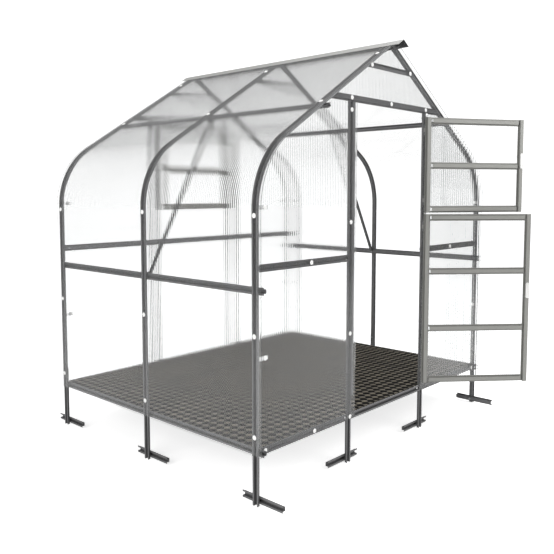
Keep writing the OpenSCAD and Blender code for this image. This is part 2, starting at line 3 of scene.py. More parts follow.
import bmesh
import bpy
import numpy as np
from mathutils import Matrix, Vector


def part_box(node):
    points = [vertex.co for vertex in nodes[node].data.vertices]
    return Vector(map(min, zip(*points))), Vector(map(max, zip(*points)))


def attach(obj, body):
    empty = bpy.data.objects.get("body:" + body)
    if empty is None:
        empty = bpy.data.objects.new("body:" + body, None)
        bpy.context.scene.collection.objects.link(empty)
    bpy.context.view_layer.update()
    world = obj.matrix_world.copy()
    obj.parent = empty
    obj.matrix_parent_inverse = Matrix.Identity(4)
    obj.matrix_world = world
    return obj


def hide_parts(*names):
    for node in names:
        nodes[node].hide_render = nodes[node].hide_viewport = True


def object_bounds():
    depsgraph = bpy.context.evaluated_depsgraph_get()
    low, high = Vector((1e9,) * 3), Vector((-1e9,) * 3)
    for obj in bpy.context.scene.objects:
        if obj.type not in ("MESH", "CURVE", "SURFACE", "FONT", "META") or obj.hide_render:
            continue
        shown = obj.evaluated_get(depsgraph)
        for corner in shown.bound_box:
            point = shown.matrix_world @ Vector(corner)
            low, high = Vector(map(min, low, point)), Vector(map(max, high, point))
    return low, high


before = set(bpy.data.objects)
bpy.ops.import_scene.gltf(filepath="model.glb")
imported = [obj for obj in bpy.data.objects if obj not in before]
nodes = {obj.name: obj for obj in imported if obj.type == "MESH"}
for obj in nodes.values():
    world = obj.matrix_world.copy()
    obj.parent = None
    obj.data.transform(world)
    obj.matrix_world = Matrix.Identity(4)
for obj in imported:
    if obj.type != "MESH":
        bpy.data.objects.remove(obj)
cad_box = [list(map(float, corner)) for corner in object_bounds()]
scene = bpy.context.scene
MM = 0.001


# ---------------------------------------------------------------- small helpers

# Where a colour mix has its factor, its two colours and its result among its sockets.
FACTOR, LOW, HIGH, MIXED = 0, 6, 7, 2


def linear(code):
    """sRGB hex to a linear RGBA colour."""
    parts = [int(code[i : i + 2], 16) / 255 for i in (1, 3, 5)]
    return tuple(c / 12.92 if c <= 0.04045 else ((c + 0.055) / 1.055) ** 2.4 for c in parts) + (1.0,)


def add(tree, kind, inputs=None, **settings):
    """Adds a node, sets its settings, and sets or links its inputs by name or index."""
    node = tree.nodes.new(kind)
    for name, value in settings.items():
        setattr(node, name, value)
    for key, value in (inputs or {}).items():
        socket = node.inputs[key]
        if isinstance(value, bpy.types.NodeSocket):
            tree.links.new(value, socket)
        else:
            socket.default_value = value
    return node


def new_material(name):
    """An empty material. Returns it with its tree, its output node and the object coordinates."""
    material = bpy.data.materials.new(name)
    material.use_nodes = True
    tree = material.node_tree
    tree.nodes.clear()
    output = add(tree, "ShaderNodeOutputMaterial")
    coordinates = add(tree, "ShaderNodeTexCoord").outputs["Object"]
    return material, tree, output, coordinates


def dress(names, material):
    """Gives CAD nodes a material, in the one slot that each of them has."""
    for name in names:
        nodes[name].data.materials[0] = material


# ---------------------------------------------------------------- materials

BEND_RADIUS = 1.6 * MM  # how round the folds of a roll-formed section look
CREASE_SHADE_REACH = 14 * MM  # how far the painted shade reaches out of a corner of the channel
ORANGE_PEEL = 2.5 * MM  # from bump to bump of the coat


def coated_metal(name, light, dark, crease_shade, roughness, underside_shade=None):
    """Strip or cast metal with a baked coat: an even satin skin, a faint orange peel from the coating
    line, a tone that clouds about every third of a metre, round folds that catch the light, and painted
    shade in the corners of its channels. A flashing has a darker colour on its underside: painted shade."""
    material, tree, output, place = new_material(name)
    fold = add(tree, "ShaderNodeBevel", {"Radius": BEND_RADIUS}, samples=4)
    cloud = add(tree, "ShaderNodeTexNoise", {"Vector": place, "Scale": 3.0, "Detail": 3.0})
    peel = add(tree, "ShaderNodeTexNoise", {"Vector": place, "Scale": 1 / ORANGE_PEEL, "Detail": 1.0})
    coat = {FACTOR: cloud.outputs["Fac"], LOW: linear(dark), HIGH: linear(light)}
    tint = add(tree, "ShaderNodeMix", coat, data_type="RGBA").outputs[MIXED]
    if underside_shade:
        # Painted shade: faces that point down take the darker underside colour.
        surface = add(tree, "ShaderNodeNewGeometry")
        facing = add(tree, "ShaderNodeSeparateXYZ", {"Vector": surface.outputs["True Normal"]})
        under = add(tree, "ShaderNodeMath", {0: facing.outputs["Z"], 1: -0.1}, operation="LESS_THAN")
        shaded_underside = {FACTOR: under.outputs[0], LOW: tint, HIGH: linear(underside_shade)}
        tint = add(tree, "ShaderNodeMix", shaded_underside, data_type="RGBA").outputs[MIXED]
    # Painted shade: the colour darkens towards the third colour where the part's own folds close round a
    # point.
    crease = add(tree, "ShaderNodeAmbientOcclusion", {"Distance": CREASE_SHADE_REACH}, samples=6, only_local=True)
    unshaded = add(
        tree, "ShaderNodeMapRange", {"Value": crease.outputs["AO"], "From Min": 0.25, "From Max": 0.85}
    )
    crease_shade_mix = {FACTOR: unshaded.outputs["Result"], LOW: linear(crease_shade), HIGH: tint}
    tint = add(tree, "ShaderNodeMix", crease_shade_mix, data_type="RGBA").outputs[MIXED]
    gloss = add(
        tree,
        "ShaderNodeMapRange",
        {"Value": cloud.outputs["Fac"], "To Min": roughness - 0.06, "To Max": roughness + 0.08},
    )
    bump = add(
        tree,
        "ShaderNodeBump",
        {
            "Height": peel.outputs["Fac"],
            "Strength": 0.15,
            "Distance": 0.05 * MM,
            "Normal": fold.outputs[0],
        },
    )
    shader = add(
        tree,
        "ShaderNodeBsdfPrincipled",
        {
            "Base Color": tint,
            "Metallic": 0.25,
            "Roughness": gloss.outputs["Result"],
            "Normal": bump.outputs["Normal"],
        },
    )
    tree.links.new(shader.outputs[0], output.inputs["Surface"])
    return material


def zinc_plate():
    """Zinc-plated steel: a true metal, brushed along its height in streaks 1.5 mm apart."""
    material, tree, output, place = new_material("zinc_plated_steel")
    streak_gap = 1.5 * MM
    brushing = add(tree, "ShaderNodeMapping", {"Vector": place, "Scale": (1.0, 1.0, 0.06)})
    streak = add(
        tree,
        "ShaderNodeTexNoise",
        {"Vector": brushing.outputs["Vector"], "Scale": 1 / streak_gap, "Detail": 2.0},
    )
    plating = {FACTOR: streak.outputs["Fac"], LOW: linear("#a4a6a8"), HIGH: linear("#c3c5c6")}
    tint = add(tree, "ShaderNodeMix", plating, data_type="RGBA").outputs[MIXED]
    gloss = add(
        tree, "ShaderNodeMapRange", {"Value": streak.outputs["Fac"], "To Min": 0.26, "To Max": 0.43}
    )
    shader = add(
        tree,
        "ShaderNodeBsdfPrincipled",
        {"Base Color": tint, "Metallic": 1.0, "Roughness": gloss.outputs["Result"]},
    )
    tree.links.new(shader.outputs[0], output.inputs["Surface"])
    return material


SHEET_CELL = 16 * MM  # width of one cell of the sheet; a real one is 6 mm, drawn coarser so that it shows
SHEET_HAZE = 0.045  # roughness of the sheet's walls
SWELL_SLOPE = 0.015  # steepest slope of the swell over a cell


def twin_wall(name, across, rib_and_reflection_tint):
    """Extruded twin-wall polycarbonate: clear walls with a slight haze, grey along each rib, the rib's
    own line with a painted reflection on it, greyer the more level a face lies, as painted shade,
    and a lens-like swell over each cell that slices whatever is behind it into narrow bands. across
    is the level direction across the ribs."""
    material, tree, output, place = new_material(name)
    reach = add(tree, "ShaderNodeVectorMath", {0: place, 1: across}, operation="DOT_PRODUCT")
    phase = add(
        tree,
        "ShaderNodeMath",
        {0: reach.outputs["Value"], 1: 2 * math.pi / SHEET_CELL},
        operation="MULTIPLY",
    ).outputs[0]
    surface = add(tree, "ShaderNodeNewGeometry")
    side = add(
        tree,
        "ShaderNodeMath",
        {0: surface.outputs["Backfacing"], 1: -2 * SWELL_SLOPE, 2: SWELL_SLOPE},
        operation="MULTIPLY_ADD",
    )
    wave = add(tree, "ShaderNodeMath", {0: phase}, operation="SINE")
    slope = add(tree, "ShaderNodeMath", {0: wave.outputs[0], 1: side.outputs[0]}, operation="MULTIPLY")
    tilt = add(tree, "ShaderNodeVectorMath", {0: across, "Scale": slope.outputs[0]}, operation="SCALE")
    swelled = add(
        tree, "ShaderNodeVectorMath", {0: surface.outputs["Normal"], 1: tilt.outputs[0]}, operation="ADD"
    )
    normal = add(tree, "ShaderNodeVectorMath", {0: swelled.outputs[0]}, operation="NORMALIZE")
    crest = add(tree, "ShaderNodeMath", {0: phase}, operation="COSINE")
    # Grey lines at the ribs: the rib's own line, with a painted reflection of the rib.
    rib = add(
        tree, "ShaderNodeMapRange", {"Value": crest.outputs[0], "From Min": 0.75, "From Max": 0.95}
    )
    # Painted shade: the more level a face lies, upper or lower, the greyer it is.
    facing = add(tree, "ShaderNodeSeparateXYZ", {"Vector": surface.outputs["Normal"]})
    levelness = add(tree, "ShaderNodeMath", {0: facing.outputs["Z"]}, operation="ABSOLUTE")
    level_shade = {FACTOR: levelness.outputs[0], LOW: linear("#fefefe"), HIGH: linear("#eeeeee")}
    level_shaded = add(tree, "ShaderNodeMix", level_shade, data_type="RGBA").outputs[MIXED]
    ribs = {FACTOR: rib.outputs["Result"], LOW: level_shaded, HIGH: linear(rib_and_reflection_tint)}
    tint = add(tree, "ShaderNodeMix", ribs, data_type="RGBA").outputs[MIXED]
    walls = add(
        tree,
        "ShaderNodeBsdfPrincipled",
        {
            "Base Color": tint,
            "Roughness": SHEET_HAZE,
            "IOR": 1.5,
            "Transmission Weight": 1.0,
            "Normal": normal.outputs[0],
        },
    )
    # Lamp light and light scattered by what stands behind go straight through, so neither counts twice.
    light_way = add(tree, "ShaderNodeLightPath")
    straight = add(
        tree,
        "ShaderNodeMath",
        {0: light_way.outputs["Is Shadow Ray"], 1: light_way.outputs["Is Diffuse Ray"]},
        operation="MAXIMUM",
    )
    clear = add(tree, "ShaderNodeBsdfTransparent", {"Color": (0.9, 0.9, 0.9, 1.0)})
    both = add(
        tree,
        "ShaderNodeMixShader",
        {"Fac": straight.outputs[0], 1: walls.outputs[0], 2: clear.outputs[0]},
    )
    tree.links.new(both.outputs[0], output.inputs["Surface"])
    return material


def web_plastic():
    """The web between the two walls of a sheet: thin clear plastic seen edge-on, milky and faint."""
    material, tree, output, place = new_material("twin_wall_web")
    haze = add(tree, "ShaderNodeTexNoise", {"Vector": place, "Scale": 5.0, "Detail": 2.0})
    milk = {FACTOR: haze.outputs["Fac"], LOW: linear("#dfe3e3"), HIGH: linear("#f4f6f6")}
    tint = add(tree, "ShaderNodeMix", milk, data_type="RGBA").outputs[MIXED]
    web = add(tree, "ShaderNodeBsdfPrincipled", {"Base Color": tint, "Roughness": 0.3, "Alpha": 0.2})
    tree.links.new(web.outputs[0], output.inputs["Surface"])
    return material


def clear_clip_plastic():
    """Injection-moulded clear polycarbonate: thin, glossy and hardly there, with flow lines 8 mm apart."""
    material, tree, output, place = new_material("clear_polycarbonate_clips")
    flow = add(tree, "ShaderNodeTexNoise", {"Vector": place, "Scale": 120.0, "Detail": 2.0})
    clear = {FACTOR: flow.outputs["Fac"], LOW: linear("#eef1f1"), HIGH: linear("#fbfcfc")}
    tint = add(tree, "ShaderNodeMix", clear, data_type="RGBA").outputs[MIXED]
    bump = add(
        tree, "ShaderNodeBump", {"Height": flow.outputs["Fac"], "Strength": 0.2, "Distance": 0.1 * MM}
    )
    body = add(
        tree,
        "ShaderNodeBsdfPrincipled",
        {"Base Color": tint, "Roughness": 0.12, "Alpha": 0.18, "Normal": bump.outputs["Normal"]},
    )
    tree.links.new(body.outputs[0], output.inputs["Surface"])
    return material


def white_cap_plastic():
    """Injection-moulded white plastic: a satin face with a spark-eroded grain of 0.6 mm."""
    material, tree, output, place = new_material("white_moulded_cap")
    grain = 0.6 * MM
    texture = add(tree, "ShaderNodeTexNoise", {"Vector": place, "Scale": 1 / grain, "Detail": 2.0})
    cloud = add(tree, "ShaderNodeTexNoise", {"Vector": place, "Scale": 9.0, "Detail": 2.0})
    white = {FACTOR: cloud.outputs["Fac"], LOW: linear("#f3f3f1"), HIGH: linear("#fbfbfa")}
    tint = add(tree, "ShaderNodeMix", white, data_type="RGBA").outputs[MIXED]
    bump = add(
        tree, "ShaderNodeBump", {"Height": texture.outputs["Fac"], "Strength": 0.3, "Distance": 0.05 * MM}
    )
    shader = add(
        tree,
        "ShaderNodeBsdfPrincipled",
        {"Base Color": tint, "Roughness": 0.3, "IOR": 1.49, "Normal": bump.outputs["Normal"]},
    )
    tree.links.new(shader.outputs[0], output.inputs["Surface"])
    return material


def mesh_plastic(bottom, top):
    """Moulded taupe walkway mesh: paler the higher it stands between the heights bottom and top, in
    random blotches, a painted highlight on its raised crossings and painted shade low down, and
    grained all over at 0.8 mm."""
    material, tree, output, place = new_material("taupe_moulded_mesh")
    grain = 0.8 * MM
    level = add(tree, "ShaderNodeSeparateXYZ", {"Vector": place}).outputs["Z"]
    # Painted highlight and shade: paler towards the top, darker low down, broken up by blotches.
    height_highlight = add(tree, "ShaderNodeMapRange", {"Value": level, "From Min": bottom, "From Max": top})
    blotch = add(tree, "ShaderNodeTexNoise", {"Vector": place, "Scale": 7.0, "Detail": 3.0})
    blotches = add(tree, "ShaderNodeMath", {0: blotch.outputs["Fac"], 1: 1.6}, operation="MULTIPLY")
    share = add(
        tree,
        "ShaderNodeMath",
        {0: height_highlight.outputs["Result"], 1: blotches.outputs[0]},
        operation="MULTIPLY",
        use_clamp=True,
    )
    height_shading = {FACTOR: share.outputs[0], LOW: linear("#1f1c17"), HIGH: linear("#938a79")}
    tint = add(tree, "ShaderNodeMix", height_shading, data_type="RGBA").outputs[MIXED]
    texture = add(tree, "ShaderNodeTexNoise", {"Vector": place, "Scale": 1 / grain, "Detail": 2.0})
    bump = add(
        tree, "ShaderNodeBump", {"Height": texture.outputs["Fac"], "Strength": 0.3, "Distance": 0.05 * MM}
    )
    shader = add(
        tree,
        "ShaderNodeBsdfPrincipled",
        {"Base Color": tint, "Roughness": 0.45, "IOR": 1.49, "Normal": bump.outputs["Normal"]},
    )
    tree.links.new(shader.outputs[0], output.inputs["Surface"])
    return material


def woven_fleece():
    """Woven polypropylene ground cover: flat black tapes 2.5 mm wide, over and under each other."""
    material, tree, output, place = new_material("woven_ground_cover")
    tape = 2.5 * MM
    checks = add(
        tree,
        "ShaderNodeTexChecker",
        {"Vector": place, "Color1": linear("#050505"), "Color2": linear("#0e0e0d"), "Scale": 1 / tape},
    )
    bump = add(
        tree, "ShaderNodeBump", {"Height": checks.outputs["Fac"], "Strength": 0.4, "Distance": 0.2 * MM}
    )
    shader = add(
        tree,
        "ShaderNodeBsdfPrincipled",
        {
            "Base Color": checks.outputs["Color"],
            "Roughness": 0.85,
            "Specular IOR Level": 0.15,
            "Normal": bump.outputs["Normal"],
        },
    )
    tree.links.new(shader.outputs[0], output.inputs["Surface"])
    return material


def leaf_direction(name):
    """Level direction along an open leaf, from the corners of its box."""
    low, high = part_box(name)
    along = Vector((high[0] - low[0], low[1] - high[1], 0))
    return tuple(along.normalized())


SIDE_SHEETS = ("side_sheet_left", "side_sheet_right")
LEAF_SHEETS = ("lower_sheet", "upper_sheet")
GABLE_SHEETS = tuple(n for n in nodes if "_sheet" in n and n not in SIDE_SHEETS + LEAF_SHEETS)

zinc = zinc_plate()
cap_plastic = white_cap_plastic()
web_film = web_plastic()
# The third colour of each coat is painted shade in the corners of its channels.
frame_steel = coated_metal("polyester_coated_steel", "#79797a", "#6c6c6d", "#2c2c2d", 0.38)
# Painted light: the door and vent leaves wear a lighter, lit copy of the frame's steel.
lit_leaf_steel = coated_metal("lit_copy_coated_steel", "#999995", "#8c8c88", "#4a4a47", 0.42)
# The ridge flashing's last colour is painted shade on its underside.
ridge_steel = coated_metal("coated_ridge_flashing", "#b2b2b0", "#a4a4a2", "#7c7c7a", 0.4, "#3c3c3c")
lever_coat = coated_metal("powder_coated_alloy", "#eeeeec", "#e4e4e1", "#b0b0ad", 0.4)
mesh_low, mesh_high = (corner[2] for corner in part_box("floor_mesh"))
strand_plastic = mesh_plastic(mesh_low + 1.0 * MM, mesh_high)

finishes = [
    # The last colour of each sheet is its rib line with a painted reflection of the rib.
    (SIDE_SHEETS, twin_wall("twin_wall_polycarbonate_side", (0, 1, 0), "#f4f6f6")),
    (GABLE_SHEETS, twin_wall("twin_wall_polycarbonate_gable", (1, 0, 0), "#dcdfdf")),
    (("ridge_cap",), ridge_steel),
    (("floor_underlay",), woven_fleece()),
    (("gable_clips",), clear_clip_plastic()),
    (("hinge_pins",), zinc),
    (("lower_latch", "upper_latch", "vent_latch"), lever_coat),
]
for name in LEAF_SHEETS:
    sheet = twin_wall("twin_wall_polycarbonate_" + name, leaf_direction(name), "#e2e5e5")
    finishes.append(((name,), sheet))
finished = {name for names, _ in finishes for name in names}
for name in nodes:
    if name not in finished:
        on_leaf = name.startswith(("lower_", "upper_", "vent_"))
        finishes.append(((name,), lit_leaf_steel if on_leaf else frame_steel))
for names, material in finishes:
    dress(names, material)


# ---------------------------------------------------------------- geometry node pieces


def node_group(name, sizes):
    """An empty geometry tree with named size inputs. Returns the tree, its sizes and its output node."""
    group = bpy.data.node_groups.new(name, "GeometryNodeTree")
    group.interface.new_socket("Geometry", in_out="OUTPUT", socket_type="NodeSocketGeometry")
    group.interface.new_socket("Geometry", in_out="INPUT", socket_type="NodeSocketGeometry")
    for size in sizes:
        group.interface.new_socket(size, in_out="INPUT", socket_type="NodeSocketFloat")
    return group, add(group, "NodeGroupInput").outputs, add(group, "NodeGroupOutput")


def finish_group(group, result, shape, material):
    """Ends a tree in Realize Instances and Set Material."""
    real = add(group, "GeometryNodeRealizeInstances", {"Geometry": shape})
    painted = add(group, "GeometryNodeSetMaterial", {"Geometry": real.outputs[0], "Material": material})
    group.links.new(painted.outputs[0], result.inputs["Geometry"])


def joined(group, shapes):
    """One geometry of several."""
    whole = add(group, "GeometryNodeJoinGeometry")
    for shape in shapes:
        group.links.new(shape, whole.inputs[0])
    return whole.outputs[0]


def grow(name, group, seed_mesh, sizes, body, stands_for=()):
    """Runs a tree on a mesh and keeps the result as a plain mesh piece."""
    host = bpy.data.objects.new(name + "_seed", seed_mesh)
    scene.collection.objects.link(host)
    modifier = host.modifiers.new("grow", "NODES")
    modifier.node_group = group
    for socket in group.interface.items_tree:
        if socket.item_type == "SOCKET" and socket.in_out == "INPUT" and socket.name in sizes:
            modifier[socket.identifier] = float(sizes[socket.name])
    depsgraph = bpy.context.evaluated_depsgraph_get()
    mesh = bpy.data.meshes.new_from_object(host.evaluated_get(depsgraph), depsgraph=depsgraph)
    bpy.data.objects.remove(host)
    mesh.name = name
    piece = bpy.data.objects.new(name, mesh)
    scene.collection.objects.link(piece)
    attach(piece, body)
    if stands_for:
        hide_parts(*stands_for)


WELD = 0.01 * MM  # corners of a CAD mesh that are closer than this are one corner
LEVEL = 0.1 * MM  # corners this close to an end of a screw or nut belong to that end


def welded(name):
    """A CAD node's mesh with its loose triangles joined up."""
    work = bmesh.new()
    work.from_mesh(nodes[name].data)
    bmesh.ops.remove_doubles(work, verts=work.verts, dist=WELD)
    return work


def islands(work):
    """The parts of a mesh that hang together, each as an array of its corner points, in a fixed order."""
    left = set(work.verts)
    found = []
    while left:
        reach, island = [left.pop()], []
        while reach:
            corner = reach.pop()
            island.append(tuple(corner.co))
            for edge in corner.link_edges:
                other = edge.other_vert(corner)
                if other in left:
                    left.remove(other)
                    reach.append(other)
        found.append(np.array(sorted(island)))
    return sorted(found, key=lambda points: tuple(np.round(points.mean(0), 4)))


def seat_of(points):
    """Where a round, headed solid is seated, and the direction it points: its broad end is its seat."""
    centre = points.mean(0)
    best = None
    for axis in np.linalg.svd(points - centre)[2]:
        level = (points - centre) @ axis
        away = np.linalg.norm(points - centre - np.outer(level, axis), axis=1)
        for sign in (1, -1):
            low = (level * sign) < (level * sign).min() + LEVEL
            top = (level * sign) > (level * sign).max() - LEVEL
            taper = away[low].mean() - away[top].mean()
            unevenness = away[low].std() + away[top].std()
            score = taper - 3 * unevenness
            if best is None or score > best[0]:
                best = (score, axis * sign, (level * sign).min())
    _, axis, start = best
    return centre + axis * start, axis


def seats(name):
    """A mesh with one point at the seat of each solid of a CAD node, and the way each one points."""
    work = welded(name)
    spots = [seat_of(points) for points in islands(work)]
    work.free()
    mesh = bpy.data.meshes.new(name + "_seats")
    mesh.from_pydata([tuple(p) for p, _ in spots], [], [])
    way = mesh.attributes.new("way", "FLOAT_VECTOR", "POINT")
    for i, (_, axis) in enumerate(spots):
        way.data[i].vector = tuple(axis)
    return mesh


def turned_part(group, shaded_underside, radius, depth, base):
    """A cylinder or prism standing on base, with its sizes taken from sockets."""
    bar = add(group, "GeometryNodeMeshCylinder", {"Vertices": shaded_underside, "Radius": radius, "Depth": depth})
    half = add(group, "ShaderNodeMath", {0: depth, 1: 0.5, 2: base}, operation="MULTIPLY_ADD")
    up = add(group, "ShaderNodeCombineXYZ", {"Z": half.outputs[0]})
    return add(
        group, "GeometryNodeTransform", {"Geometry": bar.outputs["Mesh"], "Translation": up.outputs[0]}
    ).outputs[0]


def at_seats(group, source, part):
    """Instances a part at each seat, turned the way that seat points."""
    way = add(group, "GeometryNodeInputNamedAttribute", {"Name": "way"}, data_type="FLOAT_VECTOR")
    turn = add(group, "FunctionNodeAlignRotationToVector", {"Vector": way.outputs["Attribute"]}, axis="Z")
    return add(
        group,
        "GeometryNodeInstanceOnPoints",
        {"Points": source["Geometry"], "Instance": part, "Rotation": turn.outputs[0]},
    ).outputs[0]


def capped_screws():
    """White roofing screws: a broad washer, a low dome over its sealing ring, and a hexagon head."""
    sizes = {
        "Washer Radius": 14.0 * MM,
        "Washer Depth": 1.6 * MM,
        "Dome Radius": 9.5 * MM,
        "Dome Rise": 2.8 * MM,
        "Head Radius": 5.0 * MM,
        "Head Depth": 3.1 * MM,
    }
    group, source, result = node_group("capped_screws", sizes)
    washer = turned_part(group, 28, source["Washer Radius"], source["Washer Depth"], 0.0)
    ball = add(
        group, "GeometryNodeMeshUVSphere", {"Segments": 24, "Rings": 10, "Radius": source["Dome Radius"]}
    )
    squat = add(
        group, "ShaderNodeMath", {0: source["Dome Rise"], 1: source["Dome Radius"]}, operation="DIVIDE"
    )
    flat = add(group, "ShaderNodeCombineXYZ", {"X": 1.0, "Y": 1.0, "Z": squat.outputs[0]})
    lift = add(group, "ShaderNodeCombineXYZ", {"Z": source["Washer Depth"]})
    dome = add(
        group,
        "GeometryNodeTransform",
        {"Geometry": ball.outputs["Mesh"], "Translation": lift.outputs[0], "Scale": flat.outputs[0]},
    )
    head = turned_part(group, 6, source["Head Radius"], source["Head Depth"], source["Dome Rise"])
    screw = joined(group, (washer, dome.outputs[0], head))
    finish_group(group, result, at_seats(group, source, screw), cap_plastic)
    grow("capped_screws", group, seats("sheet_screws"), sizes, "frame", ("sheet_screws",))


def hexagon_nuts():
    """Nuts of the frame: a plain washer, a hexagon nut and the plain end of its bolt."""
    sizes = {
        "Washer Radius": 8.0 * MM,
        "Washer Depth": 1.2 * MM,
        "Nut Radius": 6.5 * MM,
        "Nut Depth": 4.2 * MM,
        "Bolt Radius": 3.0 * MM,
        "Bolt Length": 9.0 * MM,
    }
    group, source, result = node_group("hexagon_nuts", sizes)
    washer = turned_part(group, 24, source["Washer Radius"], source["Washer Depth"], 0.0)
    nut = turned_part(group, 6, source["Nut Radius"], source["Nut Depth"], source["Washer Depth"])
    bolt = turned_part(group, 16, source["Bolt Radius"], source["Bolt Length"], 0.0)
    fastener = joined(group, (washer, nut, bolt))
    finish_group(group, result, at_seats(group, source, fastener), zinc)
    grow("hexagon_nuts", group, seats("frame_bolts"), sizes, "frame", ("frame_bolts",))


# Webs of the sheets: strips between the two walls, one at each cell. A bent sheet repeats its own
# cross-section, and a flat one stands an upright strip at each cell, as tall as the sheet is there.

WEB_WIDTH = 3.6 * MM  # between the walls of a sheet that is 4 mm thick
WEB_INSET = 0.5 * MM  # from the sheet's edge to the end of a web
EDGE_MARGIN = 1 * MM  # there is no web closer than this to the sheet's side
SHORTEST_WEB = 5 * MM


def section(name, across, distance):
    """The outline that a flat cut square to a direction, at a distance along it, makes in a CAD node."""
    work = welded(name)
    cut = bmesh.ops.bisect_plane(
        work,
        geom=work.verts[:] + work.edges[:] + work.faces[:],
        plane_co=across * distance,
        plane_no=across,
    )
    kept = set(cut["geom_cut"])
    bmesh.ops.delete(work, geom=work.faces[:], context="FACES_ONLY")
    bmesh.ops.delete(work, geom=[e for e in work.edges if e not in kept], context="EDGES")
    bmesh.ops.delete(work, geom=[v for v in work.verts if v not in kept], context="VERTS")
    return work


def cell_marks(name, across):
    """Distances along a direction at which a sheet has a web."""
    reach = [Vector(corner.co).dot(across) for corner in nodes[name].data.vertices]
    first = math.ceil((min(reach) + EDGE_MARGIN) / SHEET_CELL)
    last = math.floor((max(reach) - EDGE_MARGIN) / SHEET_CELL)
    return [k * SHEET_CELL for k in range(first, last + 1)]


def strip_seats(name, across):
    """A mesh with one point at the foot of each web of a flat sheet, and how high each one rises."""
    feet, rises = [], []
    for distance in cell_marks(name, across):
        outline = section(name, across, distance)
        for loop in islands(outline):
            low, high = loop.min(0), loop.max(0)
            if len(loop) > 3 and high[2] - low[2] > SHORTEST_WEB:
                feet.append(((low[0] + high[0]) / 2, (low[1] + high[1]) / 2, low[2] + WEB_INSET))
                rises.append(high[2] - low[2] - 2 * WEB_INSET)
        outline.free()
    mesh = bpy.data.meshes.new(name + "_feet")
    mesh.from_pydata(feet, [], [])
    rise = mesh.attributes.new("rise", "FLOAT", "POINT")
    for i, value in enumerate(rises):
        rise.data[i].value = float(value)
    return mesh


def flat_sheet_webs(name, across, body):
    """Stands an upright strip at each cell of a flat sheet."""
    group, source, result = node_group(name + "_webs", ["Wall Gap", "Turn"])
    strip = add(
        group,
        "GeometryNodeMeshGrid",
        {"Size X": source["Wall Gap"], "Size Y": 1.0, "Vertices X": 2, "Vertices Y": 2},
    )
    upright = add(
        group,
        "GeometryNodeTransform",
        {
            "Geometry": strip.outputs["Mesh"],
            "Translation": (0.0, 0.0, 0.5),
            "Rotation": (math.pi / 2, 0.0, 0.0),
        },
    )
    rise = add(group, "GeometryNodeInputNamedAttribute", {"Name": "rise"}, data_type="FLOAT")
    size = add(group, "ShaderNodeCombineXYZ", {"X": 1.0, "Y": 1.0, "Z": rise.outputs["Attribute"]})
    turn = add(group, "ShaderNodeCombineXYZ", {"Z": source["Turn"]})
    strips = add(
        group,
        "GeometryNodeInstanceOnPoints",
        {
            "Points": source["Geometry"],
            "Instance": upright.outputs[0],
            "Rotation": turn.outputs[0],
            "Scale": size.outputs[0],
        },
    )
    finish_group(group, result, strips.outputs[0], web_film)
    through = Vector((-across.y, across.x, 0))
    sizes = {"Wall Gap": WEB_WIDTH, "Turn": math.atan2(through.y, through.x)}
    grow(name + "_webs", group, strip_seats(name, across), sizes, body)


def bent_sheet_webs(name, body):
    """Repeats the cross-section of a bent sheet at each of its cells."""
    across = Vector((0, 1, 0))
    marks = cell_marks(name, across)
    middle_mark = marks[len(marks) // 2]
    outline = section(name, across, middle_mark)
    bmesh.ops.contextual_create(outline, geom=outline.edges[:])
    bmesh.ops.triangulate(outline, faces=outline.faces[:])
    bmesh.ops.translate(outline, verts=outline.verts, vec=-across * middle_mark)
    seed_mesh = bpy.data.meshes.new(name + "_section")
    outline.to_mesh(seed_mesh)
    outline.free()
    group, source, result = node_group(name + "_webs", ["Webs", "Pitch", "First"])
    start = add(group, "ShaderNodeCombineXYZ", {"Y": source["First"]})
    step = add(group, "ShaderNodeCombineXYZ", {"Y": source["Pitch"]})
    row = add(
        group,
        "GeometryNodeMeshLine",
        {"Count": source["Webs"], "Start Location": start.outputs[0], "Offset": step.outputs[0]},
    )
    webs = add(
        group,
        "GeometryNodeInstanceOnPoints",
        {"Points": row.outputs["Mesh"], "Instance": source["Geometry"]},
    )
    finish_group(group, result, webs.outputs[0], web_film)
    sizes = {"Webs": len(marks), "Pitch": SHEET_CELL, "First": marks[0]}
    grow(name + "_webs", group, seed_mesh, sizes, body)


MESH_CELL = 62 * MM  # from crossing to crossing of the walkway mesh


def crest(group, axis, size, count):
    """1 where strands cross, 0 in the middle of a cell, along one axis of the centred field."""
    field = add(group, "ShaderNodeMath", {0: size, 1: count}, operation="MULTIPLY")
    start = add(group, "ShaderNodeMath", {0: field.outputs[0], 1: 0.5, 2: axis}, operation="MULTIPLY_ADD")
    turns = add(group, "ShaderNodeMath", {0: start.outputs[0], 1: size}, operation="DIVIDE")
    angle = add(group, "ShaderNodeMath", {0: turns.outputs[0], 1: 2 * math.pi}, operation="MULTIPLY")
    wave = add(group, "ShaderNodeMath", {0: angle.outputs[0]}, operation="COSINE")
    return add(
        group, "ShaderNodeMath", {0: wave.outputs[0], 1: 0.5, 2: 0.5}, operation="MULTIPLY_ADD"
    ).outputs[0]


